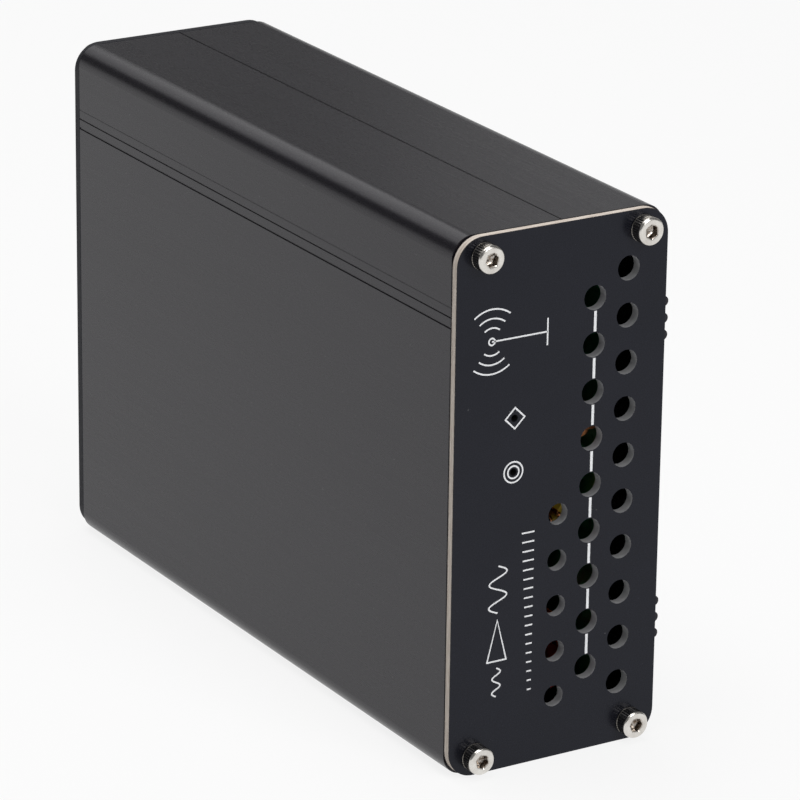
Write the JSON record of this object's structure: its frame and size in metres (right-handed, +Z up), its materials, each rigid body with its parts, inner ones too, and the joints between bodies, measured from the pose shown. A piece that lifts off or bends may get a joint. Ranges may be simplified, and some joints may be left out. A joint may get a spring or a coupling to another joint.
{
  "type": "hf linear amplifier",
  "caption": "Compact radio-frequency power amplifier in a split black extruded case with vented end panels, rear sockets, an inner board, transformers and a fan.",
  "frame": {"origin": "middle of the narrow resting face, half way between the two end panels' inner faces", "axes": "+X across the front from the smooth wide face to the ridged one, +Y from the vented front panel to the rear sockets, +Z up"},
  "size_m": [0.0396, 0.1427, 0.088],
  "materials": {
    "anodised_case": "satin black anodised extrusion",
    "panel_laminate": "black solder mask over glass laminate, pale bare edge",
    "stainless": "turned stainless steel",
    "board_laminate": "green solder mask over glass laminate",
    "plate_laminate": "copper-clad laminate",
    "bare_aluminium": "milled",
    "pad_silicone": "grey silicone",
    "black_epoxy": "moulded epoxy",
    "tinned_metal": "tinned",
    "nylon_white": "natural white plastic",
    "ferrite": "dark sintered ferrite",
    "brass_tube": "drawn brass",
    "sleeved_wire": "white sleeved wire",
    "enamelled_copper": "enamelled copper",
    "iron_powder_yellow": "yellow coated iron powder",
    "iron_powder_red": "red coated iron powder",
    "capacitor_brown": "brown dipped coating",
    "capacitor_sleeve": "black shrink sleeve, aluminium top",
    "relay_plastic": "sealed black case",
    "trimmer_blue": "blue moulded case",
    "lamp_lens": "water-clear epoxy",
    "black_plastic": "glass-filled black moulding",
    "nickel_plate": "bright nickel plate",
    "gold_plate": "gold plate",
    "inlet_nylon": "yellow nylon",
    "lead_jacket": "black flexible jacket",
    "legend_ink": "white screen-printed ink of the front marks"
  },
  "bodies": {
    "amplifier": {"bias_regulator": "black_epoxy", "chip_parts": "black_epoxy", "fan_frame": "black_plastic", "fan_lead": "lead_jacket", "fan_screws": "stainless", "filter_capacitors": "capacitor_brown", "front_panel": "panel_laminate", "front_panel_screws": "stainless", "heat_spreader": "bare_aluminium", "inlet_housing": "inlet_nylon", "inlet_pins": "gold_plate", "input_core": "ferrite", "input_relay": "relay_plastic", "input_winding": "enamelled_copper", "key_jack_body": "black_plastic", "key_jack_bush": "nickel_plate", "key_lead": "lead_jacket", "lamp_leads": "tinned_metal", "lead_headers": "nylon_white", "left_shell": "anodised_case", "lower_filter_core": "iron_powder_red", "lower_filter_winding": "enamelled_copper", "lower_lamp": "lamp_lens", "lower_transistor_body": "black_epoxy", "lower_transistor_frame": "tinned_metal", "lower_trimmer": "trimmer_blue", "main_board": "board_laminate", "output_end_plates": "plate_laminate", "output_relay": "relay_plastic", "output_sleeves": "ferrite", "output_tubes": "brass_tube", "output_winding": "sleeved_wire", "panel_nuts": "nickel_plate", "rear_panel": "panel_laminate", "rear_panel_screws": "stainless", "rf_input_contact": "gold_plate", "rf_input_housing": "black_plastic", "rf_input_insulator": "nylon_white", "rf_input_shell": "nickel_plate", "rf_output_contact": "gold_plate", "rf_output_housing": "black_plastic", "rf_output_insulator": "nylon_white", "rf_output_shell": "nickel_plate", "right_shell": "anodised_case", "spreader_screws": "stainless", "supply_capacitors": "capacitor_sleeve", "supply_choke_core": "ferrite", "supply_choke_winding": "enamelled_copper", "transistor_bushes": "nylon_white", "transistor_pads": "pad_silicone", "transistor_screws": "stainless", "upper_filter_core": "iron_powder_yellow", "upper_filter_winding": "enamelled_copper", "upper_lamp": "lamp_lens", "upper_transistor_body": "black_epoxy", "upper_transistor_frame": "tinned_metal", "upper_trimmer": "trimmer_blue"},
    "fan_rotor": {"fan_rotor": "black_plastic"},
    "lower_trimmer_rotor": {"lower_trimmer_rotor": "nylon_white"},
    "upper_trimmer_rotor": {"upper_trimmer_rotor": "nylon_white"}
  },
  "joints": [
    {"name": "fan_spin", "type": "hinge", "parent": "amplifier", "child": "fan_rotor", "pos_m": [-0.0038, 0.055, 0.038], "axis": [0, 1, 0], "continuous": true},
    {"name": "lower_bias_turn", "type": "hinge", "parent": "amplifier", "child": "lower_trimmer_rotor", "pos_m": [0.0045, 0.036, 0.0358], "axis": [-1, 0, 0], "range_deg": [-120, 120]},
    {"name": "upper_bias_turn", "type": "hinge", "parent": "amplifier", "child": "upper_trimmer_rotor", "pos_m": [0.0045, 0.036, 0.0522], "axis": [-1, 0, 0], "range_deg": [-120, 120]}
  ]
}
